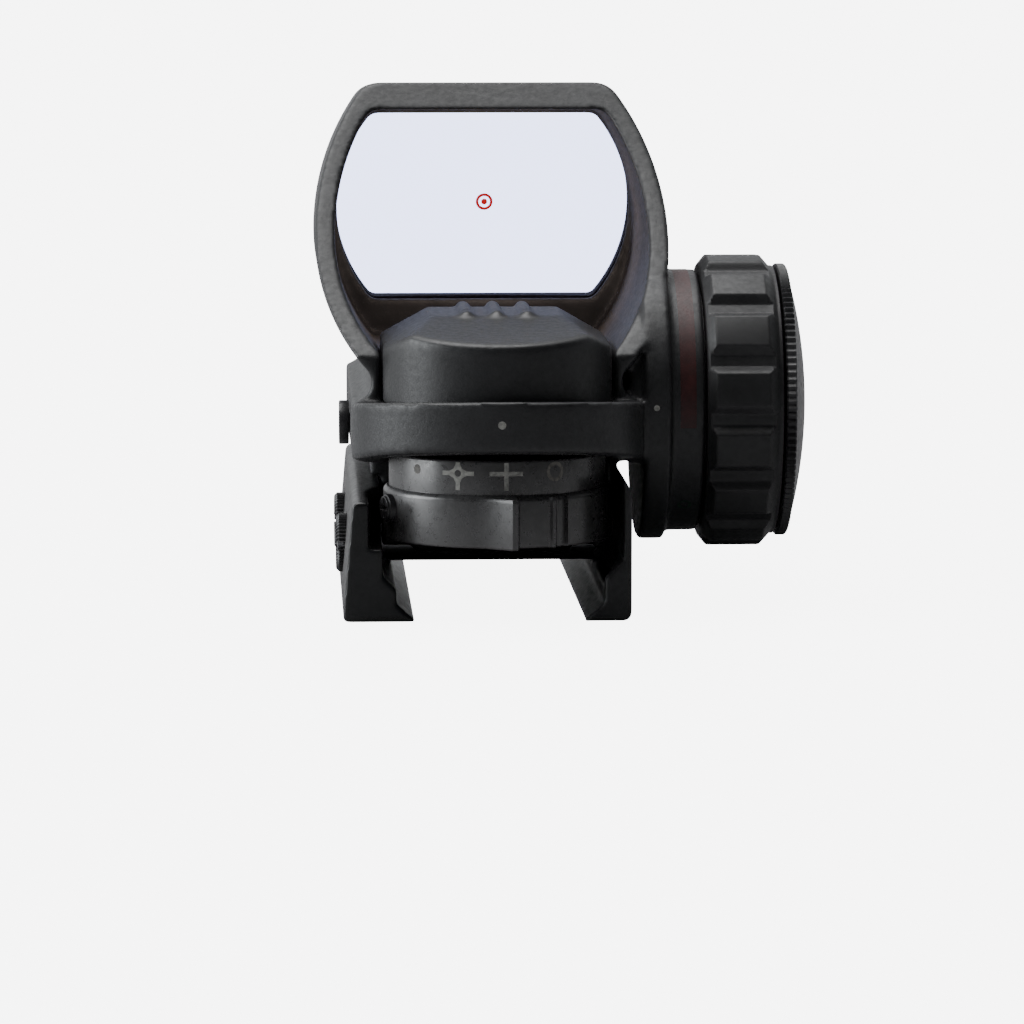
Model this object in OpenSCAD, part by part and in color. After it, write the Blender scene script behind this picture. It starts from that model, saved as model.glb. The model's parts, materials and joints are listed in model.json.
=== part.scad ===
// Open reflex sight with four selectable reticles, on a clamp for a 21.2 mm slotted rail.
// +Y is forward along the line of sight, +X is to the user's right and +Z is up.
// The origin lies on the flat seat that rests on the rail, midway along the clamp.

/* [Rail clamp] */
// Width across the rail's flanks
rail_w = 21.2; // [21:0.1:21.6]
// Length of the two jaws along the rail
jaw_len = 60; // [56:1:64]
// How far the jaws reach below the seat
jaw_drop = 4.8; // [4.6:0.1:5.2]
// Distance between the two cross studs
stud_pitch = 20; // [18:1:20]
// Radius of a cross stud
stud_r = 2; // [1.8:0.1:2]

/* [Body] */
// Half width of the body and radius of its rounded rear
body_r = 15.4; // [15.2:0.1:15.8]
// Underside of the body, above the seat
body_bottom = 10.35; // [10.3:0.05:10.6]
// Top of the body's sides
body_top = 17.5; // [17.3:0.1:17.8]
// Front face of the body and the hood
front_y = 28; // [27:0.5:30]

/* [Hood and lens] */
// Top of the hood above the seat
hood_top = 50.4; // [50:0.2:52]
// Widest half width of the hood
hood_half_w = 19.15; // [19:0.05:19.4]
// Wall thickness of the hood
hood_wall = 2.2; // [2:0.1:2.3]
// Radius of the clear window
window_r = 16.5; // [16.2:0.1:16.7]
// Height of the clear window
window_h = 21.4; // [20.8:0.1:21.6]
// Lean of the lens, its top towards the user
lens_tilt = 8; // [7:0.5:9]

/* [Reticle selector] */
// Radius of the wheel's skirt
wheel_r = 12.1; // [11.9:0.1:12.2]
// Angle between two neighbouring reticles
reticle_step = 26.5; // [25:0.5:27]

/* [Brightness dial] */
// Radius over the dial's grip ridges
dial_r = 15.85; // [15.5:0.05:16.2]
// Number of grip ridges
dial_ridges = 15; // [13:1:17]
// Radius of the coin cell
cell_r = 10; // [9.8:0.1:10]
// Thickness of the coin cell
cell_t = 3.2; // [3:0.1:3.2]

/* [Hidden] */
$fn = 96;

fit = 0.05;                  // radial clearance of a running fit
gap = 0.3;                   // clearance between parts that move past each other
eps = 0.02;                  // overlap that keeps joined solids joined

// Rail clamp
jaw_rear = -jaw_len / 2;
jaw_front = jaw_len / 2;
channel_half = rail_w / 2 + gap;
hook_tip = channel_half - 2.15;
base_half = 12;              // half width of the block over the rail
base_top = 8.3;
seat_half = 8.5;             // half width of the raised seat on the block's underside
seat_relief = 0.6;
base_rear = -8.8;
stud_z = 0.7;                // stud axis, so that the studs cross the rail's slots
stud_y = [4 - stud_pitch / 2, 4 + stud_pitch / 2];
fixed_jaw_x = 13.8;          // outer face of the fixed jaw
skirt_x = 12.9;              // inner face of the fixed jaw beside the wheel
jaw_top = 7.9;
jaw_top_x = -15.5;           // outer face of the movable jaw, at its top and its bottom
jaw_bottom_x = -16.5;
nut_r = 3.2;
nut_out = -17;
nut_in = -13.9;

// Hood
hood_fall = 2;               // slope of the hood towards the front, in degrees
hood_z = 33.8;               // height of the hood's widest point, below the top of its rim
hood_up_r = 27;              // radius of the sides above that point
hood_low_r = 20.4;           // radius of the sides below it
hood_corner = 3;             // radius of the two upper corners
hood_floor = 21.5;
hood_rear = -22;
rim_top = [6, hood_top];     // control points of the raked rear rim, as [y, z]
rim_mid = [-9, 33];
rim_low = [hood_rear, 22.4];

// Lens
lens_y = 19;
lens_z = 36.3;
lens_t = 2;
lens_curve = 150;            // radius of the reflecting surface
lens_edge = 0.8;             // how far the glass reaches past the clear window
lip_t = 1.2;                 // lip that the glass rests against
window_corner = 1.2;         // radius of the window's corners

// Reticle selector
wheel_y = -22;
wheel_z = [3.4, 8.9, 12.5];  // bottom of the skirt, bottom of the ring, top of the ring
ring_r = 11.5;
shaft_r = 2;
chamber_r = 9.5;
chamber_z = 14.2;
deep_half = 7.6;             // half width of the deep front pocket
deep_z = 11.2;
deep_y = [-9.5, 4];
set_screw_angle = -70;
set_screw_z = 6.85;
set_screw_r = 1.45;
crest_r = wheel_r + 2;       // outermost point of the finger tab
detent_r = 10.5;             // distance of the detent ball from the wheel's axis
detent_angle = 90;
drum_r = 5.5;
drum_z = 18;

// Emitter cover
cover_r = 12.1;
cover_wall = 1.2;
cover_front = -4.5;
cover_roof = 26.6;
cover_side = 23.6;           // top of the cover's side walls
ear = [8.9, -2.2];           // screw hole in each of the cover's two ears, as [x, y]
ear_r = 1.5;
rib_r = 0.8;                 // three ribs along the cover's roof
rib_pitch = 3.2;
rib_rear = -21.3;

// Adjusters
windage_y = -5;
windage_z = 13.8;
elevation_y = 0.5;
adjust_r = 1;                // radius of both adjusting screws
carriage_top = 15.5;
block_z = [16.2, 17.8];

// Brightness dial
dial_y = -7;
dial_z = 16.3;
flange_x = [15.7, 18.5];
flange_r = 15.1;
barrel_x = 22.2;
barrel_r = 14.2;
well_r = 9.8;                // pocket for the switch board
well_x = 17.2;
spigot_r = 12.5;
spigot_x = 20.2;
shelf_x = 19.9;
knob_x = [22.4, 30.5];
grip_x = [23.3, 29];         // where the grip has its full radius
lip_r = dial_r - 1.25;       // radius of the knob beside the cap
valley_turn = 9;             // angle of the first valley between two grip ridges
valley_half = 1.5;
cavity_x = 23.6;
cell_x = 24.6;
thread_r = 11.5;
cap_x = [30.8, 31.9, 33.95];
cap_r = 14.8;
dial_steps = 5;              // brightness steps each way from off
dial_step = 30;
ball_r = 0.8;

// Extrudes an outline drawn in X and Z along Y
module along_y(y0, y1)
    translate([0, y1, 0]) rotate([90, 0, 0]) linear_extrude(y1 - y0) children();

// Extrudes an outline drawn in Y and Z along X
module along_x(x0, x1)
    translate([x0, 0, 0]) rotate([90, 0, 90]) linear_extrude(x1 - x0) children();

// A round bar along X from x0 to x1
module bar_x(x0, x1, r, y, z)
    translate([x0, y, z]) rotate([0, 90, 0]) cylinder(h = x1 - x0, r = r);

// A round bar along Z from z0 to z1
module bar_z(z0, z1, r, x = 0, y = wheel_y)
    translate([x, y, z0]) cylinder(h = z1 - z0, r = r);

// Puts its children on the dial's axis, with local Z running outwards along +X
module on_dial(x = 0)
    translate([x, dial_y, dial_z]) rotate([0, 90, 0]) children();

// Puts its children in the lens's own leaning frame
module on_lens()
    translate([0, lens_y, lens_z]) rotate([lens_tilt, 0, 0]) children();

// Turns its children about the wheel's axis; the angle is 0 at the rear and grows towards +X
module at_wheel(angle, r = 0)
    translate([0, wheel_y, 0]) rotate([0, 0, angle]) translate([0, -r, 0]) children();

// A box given by its low and high corners
module box(low, high)
    translate(low) cube(high - low);

// A helical compression spring standing on z = 0
module coil(r, wire, height, turns) {
    steps = 16 * turns;
    sides = 6;
    rings = [for (i = [0 : steps])
        let (a = 360 * turns * i / steps, z = wire + (height - 2 * wire) * i / steps)
        [for (j = [0 : sides - 1])
            let (b = 360 * j / sides, d = r - wire + wire * cos(b))
            [d * cos(a), d * sin(a), z + wire * sin(b)]]];
    points = [for (ring = rings) for (p = ring) p];
    walls = [for (i = [0 : steps - 1], j = [0 : sides - 1], half = [0, 1])
        let (k = (j + 1) % sides, low = i * sides, high = low + sides)
        half == 0 ? [low + j, high + j, high + k] : [low + j, high + k, low + k]];
    ends = [[for (j = [0 : sides - 1]) j], [for (j = [sides - 1 : -1 : 0]) steps * sides + j]];
    polyhedron(points, concat(walls, ends), convexity = 8);
}

// What a corner of radius c cuts away where the line z = top meets an arc, given by its centre and radius
module corner_waste(centre, r, top, c) {
    z = top - c;
    x = centre.x + sqrt(pow(r - c, 2) - pow(z - centre.y, 2));
    out = [x - centre.x, z - centre.y] / (r - c);
    difference() {
        polygon([[x, top + 1], [x, z], [x, z] + c * out, [x, z] + (c + 1.5) * out]);
        translate([x, z]) circle(c);
    }
}

// Front outline of the hood, drawn in X and Z and drawn in by inset all round
module hood_outline(inset = 0) {
    up_r = hood_up_r - inset;
    low_r = hood_low_r - inset;
    up_c = hood_up_r - hood_half_w;
    low_c = hood_half_w - hood_low_r;
    top = hood_top - inset * 1.35;
    difference() {
        union() {
            intersection() {
                translate([-up_c, hood_z]) circle(up_r);
                translate([up_c, hood_z]) circle(up_r);
                translate([-hood_half_w, hood_z]) square([2 * hood_half_w, top - hood_z]);
            }
            intersection() {
                translate([low_c, hood_z]) circle(low_r);
                translate([-low_c, hood_z]) circle(low_r);
                translate([-hood_half_w, hood_z - hood_low_r]) square([2 * hood_half_w, hood_low_r]);
            }
        }
        for (side = [0, 1]) mirror([side, 0])
            corner_waste([-up_c, hood_z], up_r, top, hood_corner - inset / 2);
    }
}

// A bar along Y with the hood's outline, sloping down towards the front from the top of the rim
module hood_bar(inset = 0)
    translate([0, rim_top.x, rim_top.y]) rotate([-hood_fall, 0, 0]) translate([0, -rim_top.x, -rim_top.y])
        along_y(-50, 50) hood_outline(inset);

// Side outline of the hood, drawn in Y and Z, with its raked rear rim as a quadratic curve
module hood_side() {
    steps = 18;
    rim = [for (i = [0 : steps])
        let (t = i / steps)
        (1 - t) * (1 - t) * rim_top + 2 * t * (1 - t) * rim_mid + t * t * rim_low];
    polygon(concat([[front_y, body_bottom + 2], [front_y, hood_top]], rim,
                   [[hood_rear, body_bottom + 2]]));
}

// A disc with its top and bottom cut off and its four corners rounded, drawn in X and Z
module capped_disc(r, half_h)
    difference() {
        intersection() {
            circle(r);
            square([2 * r + 1, 2 * half_h], center = true);
        }
        for (side = [0, 1], end = [0, 1]) mirror([side, 0]) mirror([0, end])
            corner_waste([0, 0], r, half_h, window_corner);
    }

// Half section of the body, from its centre plane out to its chamfered side
function body_half() = [
    [0, body_bottom], [body_r - 1.2, body_bottom], [body_r, body_bottom + 1.2],
    [body_r, 19.4], [body_r - 0.5, 19.9], [0, 19.9]];

// Body below the hood: a straight part with a rounded rear, cut by its sloping top and underside
module body_shell()
    intersection() {
        union() {
            along_y(wheel_y, front_y) polygon(body_half());
            along_y(wheel_y, front_y) mirror([1, 0]) polygon(body_half());
            translate([0, wheel_y, 0]) rotate_extrude() polygon(body_half());
        }
        along_x(-body_r - 1, body_r + 1) polygon([
            [wheel_y - body_r - 1, 13.9], [-14, body_bottom - eps], [front_y, body_bottom - eps],
            [front_y, body_top], [wheel_y, body_top], [wheel_y - body_r - 1, 19.1]]);
    }

// Concave fillet that blends the hood's side into the top of the body
module hood_foot(side)
    mirror([side, 0, 0]) difference() {
        box([0, hood_rear, body_top - 1], [14.6, front_y, 20.6]);
        bar_y(hood_rear - 1, front_y + 1, 2.1, 15.4, body_top + 2.15);
    }

// A round bar along Y
module bar_y(y0, y1, r, x, z)
    translate([x, y1, z]) rotate([90, 0, 0]) cylinder(h = y1 - y0, r = r);

// Rail hook and side wall on the right, in one with the housing
module fixed_jaw()
    along_y(jaw_rear, jaw_front) polygon([
        [skirt_x, body_bottom + eps], [fixed_jaw_x, base_top + 0.3], [fixed_jaw_x, 0.5 - jaw_drop],
        [fixed_jaw_x - 0.5, -jaw_drop], [hook_tip, -jaw_drop], [channel_half, -2.85],
        [channel_half, -0.3], [skirt_x, 1.7]]);

// Round boss on the right that holds the brightness dial
module dial_boss() {
    on_dial(flange_x[0]) cylinder(h = flange_x[1] - flange_x[0], r = flange_r);
    on_dial(flange_x[1] - eps) cylinder(h = barrel_x - flange_x[1] + eps, r = barrel_r);
    intersection() {
        on_dial(14) cylinder(h = flange_x[0] - 14 + eps, r = flange_r - 0.8);
        box([13, wheel_y - 1, body_bottom + 0.4], [17, front_y, hood_floor + 6]);
        along_y(hood_rear, front_y) square([40, 50]);
    }
}

module main_housing()
    color("dimgray") difference() {
        union() {
            intersection() {
                hood_bar();
                along_x(-20, 20) hood_side();
            }
            for (side = [0, 1]) hood_foot(side);
            body_shell();
            box([-13.2, base_rear, base_top - eps], [skirt_x + eps, front_y, body_bottom + eps]);
            box([-base_half, base_rear, seat_relief], [skirt_x + eps, jaw_front, base_top]);
            box([-seat_half, base_rear, 0], [seat_half, jaw_front, seat_relief + eps]);
            box([skirt_x - eps, jaw_rear, 1.7], [fixed_jaw_x, jaw_front, base_top]);
            fixed_jaw();
            dial_boss();
        }
        // Inside of the hood, behind the lip that the glass rests on
        intersection() {
            hood_bar(hood_wall);
            box([-20, -50, hood_floor], [20, 50, 60]);
            on_lens() box([-30, -80, -40], [30, -1 - lip_t, 40]);
        }
        on_lens() {
            along_y(-4, 0) capped_disc(window_r, window_h / 2);
            along_y(-1, 3.2) capped_disc(window_r + lens_edge + 0.15, window_h / 2 + lens_edge + 0.15);
        }
        translate([0, 0, lens_z + 0.2]) along_y(lens_y + 1.4, front_y + 1)
            capped_disc(window_r + lens_edge + 0.3, window_h / 2 + lens_edge + 0.3);
        // Slot for the emitter cover between the side walls
        box([-cover_r - gap, wheel_y, body_top], [cover_r + gap, cover_front + gap, 40]);
        bar_z(body_top, 40, cover_r + gap);
        box([-cover_r - 4, wheel_y - 20, 20.2], [cover_r + 4, wheel_y, 40]);
        // Emitter chamber and its deep front pocket
        bar_z(chamber_z, 30, chamber_r);
        box([-chamber_r, wheel_y, chamber_z], [chamber_r, cover_front, 30]);
        box([-deep_half, deep_y[0], deep_z], [deep_half, deep_y[1], hood_floor - 1.7]);
        bar_z(hood_floor - 3, hood_floor + 1, 2.7, 0, elevation_y);
        for (side = [-1, 1]) bar_z(hood_floor - 4, hood_floor + 1, 0.83, side * ear.x, ear.y);
        // Room for the selector wheel, its shaft and its detent
        bar_z(-1, body_bottom + eps, wheel_r + 0.75);
        bar_z(body_bottom - 1, wheel_z[2] + gap, ring_r + gap);
        bar_z(wheel_z[2], chamber_z + 1, shaft_r + fit);
        at_wheel(detent_angle, detent_r) bar_z(wheel_z[2], 16.5, 0.6, 0, 0);
        // Windage screw and lead passage
        bar_x(-20, -deep_half + 1, adjust_r + fit, windage_y, windage_z);
        bar_x(chamber_r - 1, well_x + 1, 1, -12, 17);
        // Bores for the cross studs
        for (y = stud_y) bar_x(-base_half - 1, fixed_jaw_x - 0.8, stud_r + 0.03, y, stud_z);
        // Pocket of the brightness dial
        on_dial(well_x) cylinder(h = 10, r = well_r);
        on_dial(shelf_x) cylinder(h = 10, r = spigot_r + 0.08);
        on_dial(12) cylinder(h = 8, r = 1.53);
        on_dial(16) translate([0, 11.2, 0]) cylinder(h = 8, r = ball_r + fit);
        for (a = [60, 240]) on_dial(15.8) rotate(a) translate([7, 0, 0]) cylinder(h = 4, r = 0.53);
    }

// Outer or inner shape of the emitter cover
module cover_shape(inset, foot)
    intersection() {
        union() {
            bar_z(body_top + foot, 30, cover_r - inset);
            box([-cover_r + inset, wheel_y, body_top + foot], [cover_r - inset, cover_front - inset, 30]);
        }
        along_y(-40, 0) polygon([
            [-cover_r, 10], [-cover_r, cover_side - inset], [-7, cover_roof - inset],
            [7, cover_roof - inset], [cover_r, cover_side - inset], [cover_r, 10]]);
        along_x(-15, 15) polygon([
            [-40, 10], [-40, cover_side - inset], [-19, cover_roof + 0.3 - inset],
            [-8, cover_roof + 0.3 - inset],
            [cover_front - inset * 0.6, 22.2 - inset], [cover_front - inset * 0.6, 10]]);
    }

module emitter_cover()
    color("dimgray") difference() {
        union() {
            cover_shape(0, 0.1);
            for (i = [-1, 0, 1]) {
                bar_y(rib_rear, cover_front - 4, rib_r, i * rib_pitch, cover_roof - 0.1);
                translate([i * rib_pitch, rib_rear, cover_roof - 0.1]) sphere(r = rib_r);
            }
            for (side = [-1, 1]) {
                bar_z(hood_floor + 0.05, hood_floor + 1, ear_r, side * ear.x, ear.y);
                box([side * ear.x - ear_r, cover_front - 0.8, hood_floor + 0.05],
                    [side * ear.x + ear_r, ear.y, hood_floor + 1]);
            }
        }
        cover_shape(cover_wall, 0);
        for (side = [-1, 1]) bar_z(hood_floor - 1, hood_floor + 3, 0.9, side * ear.x, ear.y);
        box([-5.2, cover_front - 2 * cover_wall, body_top - 1], [5.2, cover_front + 1, block_z[1] + 0.8]);
        emitter_port(4.5, 1.2);
        emitter_port(3.7, 4);
    }

// Opening in the cover's sloping front; the window sits in its outer step
module emitter_port(half, depth)
    translate([0, -6.25, 24.35]) rotate([39, 0, 0])
        box([-half, -depth / 2, -1.6 + (depth - 1.2) / 6], [half, depth / 2, 1.6 - (depth - 1.2) / 6]);

module emitter_window()
    color("lightcyan") translate([0, -6.25, 24.35]) rotate([39, 0, 0])
        box([-4.45, -0.5, -1.55], [4.45, 0.3, 1.55]);

module cover_screws()
    color("dimgray") for (x = [-ear.x, ear.x]) difference() {
        union() {
            bar_z(hood_floor - 3.5, hood_floor + 1.1, 0.8, x, ear.y);
            bar_z(hood_floor + 1.05, hood_floor + 1.9, ear_r - 0.1, x, ear.y);
        }
        translate([x, ear.y, hood_floor + 1.4]) cylinder(h = 2, r = 0.7, $fn = 6);
    }

// The sphere that bounds the glass, at a depth measured from its rear face
module lens_ball(depth)
    translate([0, -lens_curve, 0]) sphere(r = lens_curve + depth, $fn = 360);

module objective_lens()
    color("aliceblue") on_lens() difference() {
        intersection() {
            along_y(-1, 3) capped_disc(window_r + lens_edge, window_h / 2 + lens_edge);
            lens_ball(lens_t);
        }
        lens_ball(0);
    }

module lens_retainer()
    color("black") on_lens() difference() {
        along_y(0.8, 3) capped_disc(window_r + lens_edge + 0.1, window_h / 2 + lens_edge + 0.1);
        along_y(0, 4) capped_disc(window_r + 0.2, window_h / 2 + 0.2);
        lens_ball(lens_t + 0.02);
    }

// Finger tab on the wheel: a hollow ramp up to a crest, then a steep fall
module finger_tab()
    translate([0, wheel_y, wheel_z[0]]) linear_extrude(wheel_z[1] - wheel_z[0] - 0.3) {
        ramp = [for (a = [-14 : 3 : 4])
            let (r = wheel_r - 0.1 + (crest_r - wheel_r) * pow((a + 14) / 18, 2)) [r * sin(a), -r * cos(a)]];
        crest = [for (a = [5.5, 6.5]) [crest_r * sin(a), -crest_r * cos(a)]];
        foot = [for (a = [9, -3]) [(wheel_r - 0.6) * sin(a), -(wheel_r - 0.6) * cos(a)]];
        polygon(concat(ramp, crest, foot));
    }

module selector_wheel()
    color("gray") difference() {
        union() {
            bar_z(wheel_z[0], wheel_z[1] - 0.4, wheel_r);
            bar_z(wheel_z[1] - 0.4, wheel_z[1], wheel_r - 0.25);
            bar_z(wheel_z[1] - 1, wheel_z[2], ring_r);
            finger_tab();
            at_wheel(26) box([-0.5, -wheel_r - 0.5, wheel_z[0]], [0.5, -wheel_r + 1, wheel_z[1] - 0.4]);
        }
        bar_z(wheel_z[0] - 1, wheel_z[0] + 1.6, 9.5);
        bar_z(0, 20, shaft_r);
        at_wheel(33) box([-0.4, -wheel_r - 1, wheel_z[0] - 1], [0.4, -wheel_r + 0.5, wheel_z[1] - 0.4]);
        at_wheel(set_screw_angle) bar_y(-20, 0, set_screw_r + 0.02, 0, set_screw_z);
        for (i = [-2 : 1]) at_wheel(detent_angle - i * reticle_step, detent_r)
            translate([0, 0, wheel_z[2] - 0.25]) cylinder(h = 0.5, r1 = 0.15, r2 = 0.65);
    }

module wheel_set_screw()
    color("silver") at_wheel(set_screw_angle) difference() {
        union() {
            bar_y(-wheel_r - 0.6, -shaft_r - 0.05, set_screw_r, 0, set_screw_z);
            bar_y(-wheel_r - 0.85, -wheel_r - 0.6 + eps, set_screw_r - 0.2, 0, set_screw_z);
        }
        for (a = [0, 90]) translate([0, 0, set_screw_z]) rotate([0, a, 0])
            box([-1, -wheel_r - 2, -0.2], [1, -wheel_r - 0.4, 0.2]);
    }

module selector_shaft()
    color("silver") {
        bar_z(5, 15.7, shaft_r);
        translate([0, wheel_y, 0]) box([-1, -0.25, 15.6], [1, 0.25, 19]);
    }

module shaft_clip()
    color("silver") difference() {
        bar_z(chamber_z + 0.05, chamber_z + 0.5, 3);
        bar_z(chamber_z - 1, chamber_z + 2, shaft_r);
        translate([0, wheel_y, 0]) box([0, -1, chamber_z - 1], [4, 1, chamber_z + 2]);
    }

module wheel_detent_ball()
    color("silver") at_wheel(detent_angle, detent_r) translate([0, 0, wheel_z[2] + 0.6]) sphere(r = 0.55);

module wheel_detent_spring()
    color("silver") at_wheel(detent_angle, detent_r) translate([0, 0, wheel_z[2] + 1.2])
        coil(0.5, 0.1, 2.6, 4);

module reticle_drum()
    color("dimgray") difference() {
        union() {
            bar_z(16.6, drum_z + eps, 3.4);
            bar_z(drum_z, drum_z + 0.6, drum_r);
            intersection() {
                difference() {
                    bar_z(drum_z, 23, drum_r);
                    bar_z(drum_z + 0.5, 24, drum_r - 0.5);
                }
                translate([0, wheel_y, drum_z]) linear_extrude(6)
                    polygon([[0, 0], [8, 4.2], [8, 9], [-8, 9], [-8, 4.2]]);
            }
        }
        translate([0, wheel_y, 0]) box([-1.6, -0.75, 16], [1.6, 0.75, 20]);
        for (i = [-2 : 1]) translate([0, wheel_y, 21]) rotate([0, 0, i * reticle_step])
            bar_y(3, 8, 0.4, 0, 0);
    }

module windage_carriage()
    color("silver") difference() {
        union() {
            box([-4.5, -29, 14.5], [4.5, -8, carriage_top]);
            box([-5, -9, 11.7], [5, 3, carriage_top]);
        }
        bar_z(10, 20, 3.6);
        bar_x(-6, 6, adjust_r + fit, windage_y, windage_z);
        bar_z(10, 20, adjust_r + fit, 0, elevation_y);
        for (x = [-3, 3]) bar_z(14, 20, 0.6, x, -11);
    }

module windage_screw()
    color("dimgray") difference() {
        union() {
            bar_x(-body_r - 1.2, -body_r - 0.1, 2.4, windage_y, windage_z);
            bar_x(-body_r - 0.2, -1, adjust_r, windage_y, windage_z);
        }
        translate([-body_r - 2, windage_y, windage_z]) rotate([0, 90, 0]) cylinder(h = 1.5, r = 1.1, $fn = 6);
    }

module windage_clip()
    color("silver") difference() {
        bar_x(-deep_half + 0.1, -deep_half + 0.6, 1.9, windage_y, windage_z);
        bar_x(-deep_half - 1, -deep_half + 1, adjust_r, windage_y, windage_z);
        box([-9, windage_y - 0.5, windage_z], [-5, windage_y + 0.5, windage_z + 3]);
    }

module windage_spring()
    color("silver") translate([5.5, windage_y, windage_z]) rotate([0, 90, 0]) coil(1.5, 0.15, deep_half - 5.6, 3);

module elevation_block()
    color("silver") difference() {
        union() {
            box([-4.5, -29.5, block_z[0]], [4.5, 3, block_z[1]]);
            box([-3, -29.5, block_z[1] - eps], [3, -29.2, 20]);
        }
        bar_z(10, 20, 3.45);
        bar_z(10, 20, adjust_r + fit, 0, elevation_y);
        for (x = [-3, 3]) {
            bar_z(10, 20, 0.65, x, -11);
            bar_z(10, 17.3, 1.3, x, -11);
        }
    }

module elevation_screw()
    color("dimgray") difference() {
        union() {
            bar_z(20, 21.1, 2.2, 0, elevation_y);
            bar_z(block_z[1] + 0.05, 20.1, 1.6, 0, elevation_y);
            bar_z(12, 18, adjust_r, 0, elevation_y);
        }
        translate([0, elevation_y, 20.3]) cylinder(h = 2, r = 1, $fn = 6);
    }

module guide_pins()
    color("silver") for (x = [-3, 3]) bar_z(14.6, 19, 0.6, x, -11);

module elevation_springs()
    color("silver") for (x = [-3, 3]) translate([x, -11, carriage_top + 0.02]) coil(1.15, 0.15, 1.7, 3);

module led_board()
    color("darkgreen") box([-3, -29.15, block_z[1] + 0.05], [3, -28.4, 22.4]);

module led()
    color("whitesmoke") {
        bar_y(-28.35, -25.5, 1.3, 0, 20.8);
        translate([0, -25.5, 20.8]) sphere(r = 1.3);
        bar_y(-28.35, -27.6, 1.6, 0, 20.8);
    }

module lead_wires()
    color("firebrick") for (y = [-12.45, -11.55]) bar_x(6.5, well_x + 1.3, 0.35, y, 17);

module clamp_studs()
    color("silver") for (y = stud_y) bar_x(nut_out + 0.2, fixed_jaw_x - 0.85, stud_r, y, stud_z);

module clamp_jaw()
    color("dimgray") difference() {
        along_y(jaw_rear, jaw_front) polygon([
            [jaw_top_x + 0.5, jaw_top], [jaw_top_x, jaw_top - 0.5], [jaw_bottom_x, 0.3 - jaw_drop],
            [jaw_bottom_x + 0.3, -jaw_drop], [-hook_tip, -jaw_drop], [-channel_half, -2.85],
            [-channel_half, -1.4], [-base_half - gap, 0], [-base_half - gap, jaw_top]]);
        bar_z(2.9, 10, wheel_r + 1.65);
        box([-wheel_r - 1.65, jaw_rear - 1, 2.9], [0, wheel_y, 10]);
        for (y = stud_y) {
            bar_x(-20, -10, stud_r + fit, y, stud_z);
            bar_x(-20, nut_in - gap / 3, nut_r + 0.25, y, stud_z);
        }
    }

module clamp_nut(y)
    color("gray") difference() {
        union() {
            bar_x(nut_out + 0.3, nut_in - gap / 3 - fit, nut_r, y, stud_z);
            bar_x(nut_out, nut_out + 0.3 + eps, nut_r - 0.3, y, stud_z);
        }
        bar_x(-20, -10, stud_r + fit, y, stud_z);
        box([nut_out - 1, y - 4, stud_z - 0.45], [nut_out + 0.8, y + 4, stud_z + 0.45]);
    }

module clamp_nut_rear() clamp_nut(stud_y[0]);

module clamp_nut_front() clamp_nut(stud_y[1]);

module switch_board()
    color("darkgreen") difference() {
        on_dial(well_x + 1.4) cylinder(h = 1, r = well_r - 0.2);
        on_dial(well_x) cylinder(h = 5, r = 2);
        for (a = [60, 240]) on_dial(well_x) rotate(a) translate([7, 0, 0]) cylinder(h = 4, r = 0.6);
    }

module board_screws()
    color("silver") for (a = [60, 240]) on_dial() rotate(a) translate([7, 0, 0]) {
        translate([0, 0, 16]) cylinder(h = 3.7, r = 0.5);
        translate([0, 0, 17.2]) cylinder(h = 1.35, r = 1.1);
    }

module dial_detent_ball()
    color("silver") on_dial(spigot_x - fit - ball_r) translate([0, 11.2, 0]) sphere(r = ball_r);

module dial_detent_spring()
    color("silver") on_dial(16.1) translate([0, 11.2, 0]) coil(0.7, 0.1, 2.3, 4);

module brightness_dial()
    color("dimgray") difference() {
        union() {
            on_dial(spigot_x) cylinder(h = knob_x[0] - spigot_x + eps, r = spigot_r);
            on_dial(knob_x[0]) cylinder(h = grip_x[0] - knob_x[0], r1 = dial_r - 1.1, r2 = dial_r);
            on_dial(grip_x[0] - eps) cylinder(h = grip_x[1] - grip_x[0] + eps, r = dial_r);
            on_dial(grip_x[1] - eps) cylinder(h = 1.1, r1 = dial_r, r2 = lip_r);
            on_dial(grip_x[1]) cylinder(h = knob_x[1] - grip_x[1], r = lip_r);
        }
        for (i = [0 : dial_ridges - 1]) on_dial(knob_x[0] - 1) rotate(360 * i / dial_ridges + valley_turn)
            box([dial_r - 0.75, -valley_half, 0], [dial_r + 1, valley_half, 12]);
        on_dial(cavity_x) cylinder(h = 10, r = cell_r + 0.6);
        on_dial(cell_x + cell_t) cylinder(h = 10, r = thread_r + fit);
        on_dial(10) cylinder(h = 20, r = 1.5 + fit);
        on_dial(cavity_x - 1.2) cylinder(h = 3, r = 3.2);
        on_dial(spigot_x + 1) difference() {
            cylinder(h = 0.85, r = spigot_r + 1);
            translate([0, 0, -1]) cylinder(h = 3, r = spigot_r - 0.75);
        }
        for (i = [-dial_steps : dial_steps]) on_dial(spigot_x - 0.4) rotate(i * dial_step)
            translate([0, 11.2, 0]) sphere(r = ball_r);
    }

module dial_axle_screw()
    color("silver") difference() {
        union() {
            on_dial(14.2) cylinder(h = 8.3, r = 1.5);
            on_dial(cavity_x - 1.1) cylinder(h = 1, r = 3);
        }
        on_dial(cavity_x - 0.6) cylinder(h = 2, r = 1, $fn = 6);
    }

module dial_seal()
    color("black") on_dial(spigot_x + 1.42) rotate_extrude() translate([spigot_r - 0.35, 0]) circle(0.38);

module dial_wiper()
    color("gold") difference() {
        on_dial(spigot_x - 0.45) cylinder(h = 0.43, r = 8);
        on_dial(spigot_x - 1) cylinder(h = 2, r = 4);
        for (a = [0 : 120 : 240]) on_dial(spigot_x - 1) rotate(a) box([3, -4.5, 0], [9, 1.5, 2]);
    }

module battery_spring()
    color("silver") on_dial(cavity_x + 0.02) coil(6, 0.12, cell_x - cavity_x - 0.05, 2);

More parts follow.
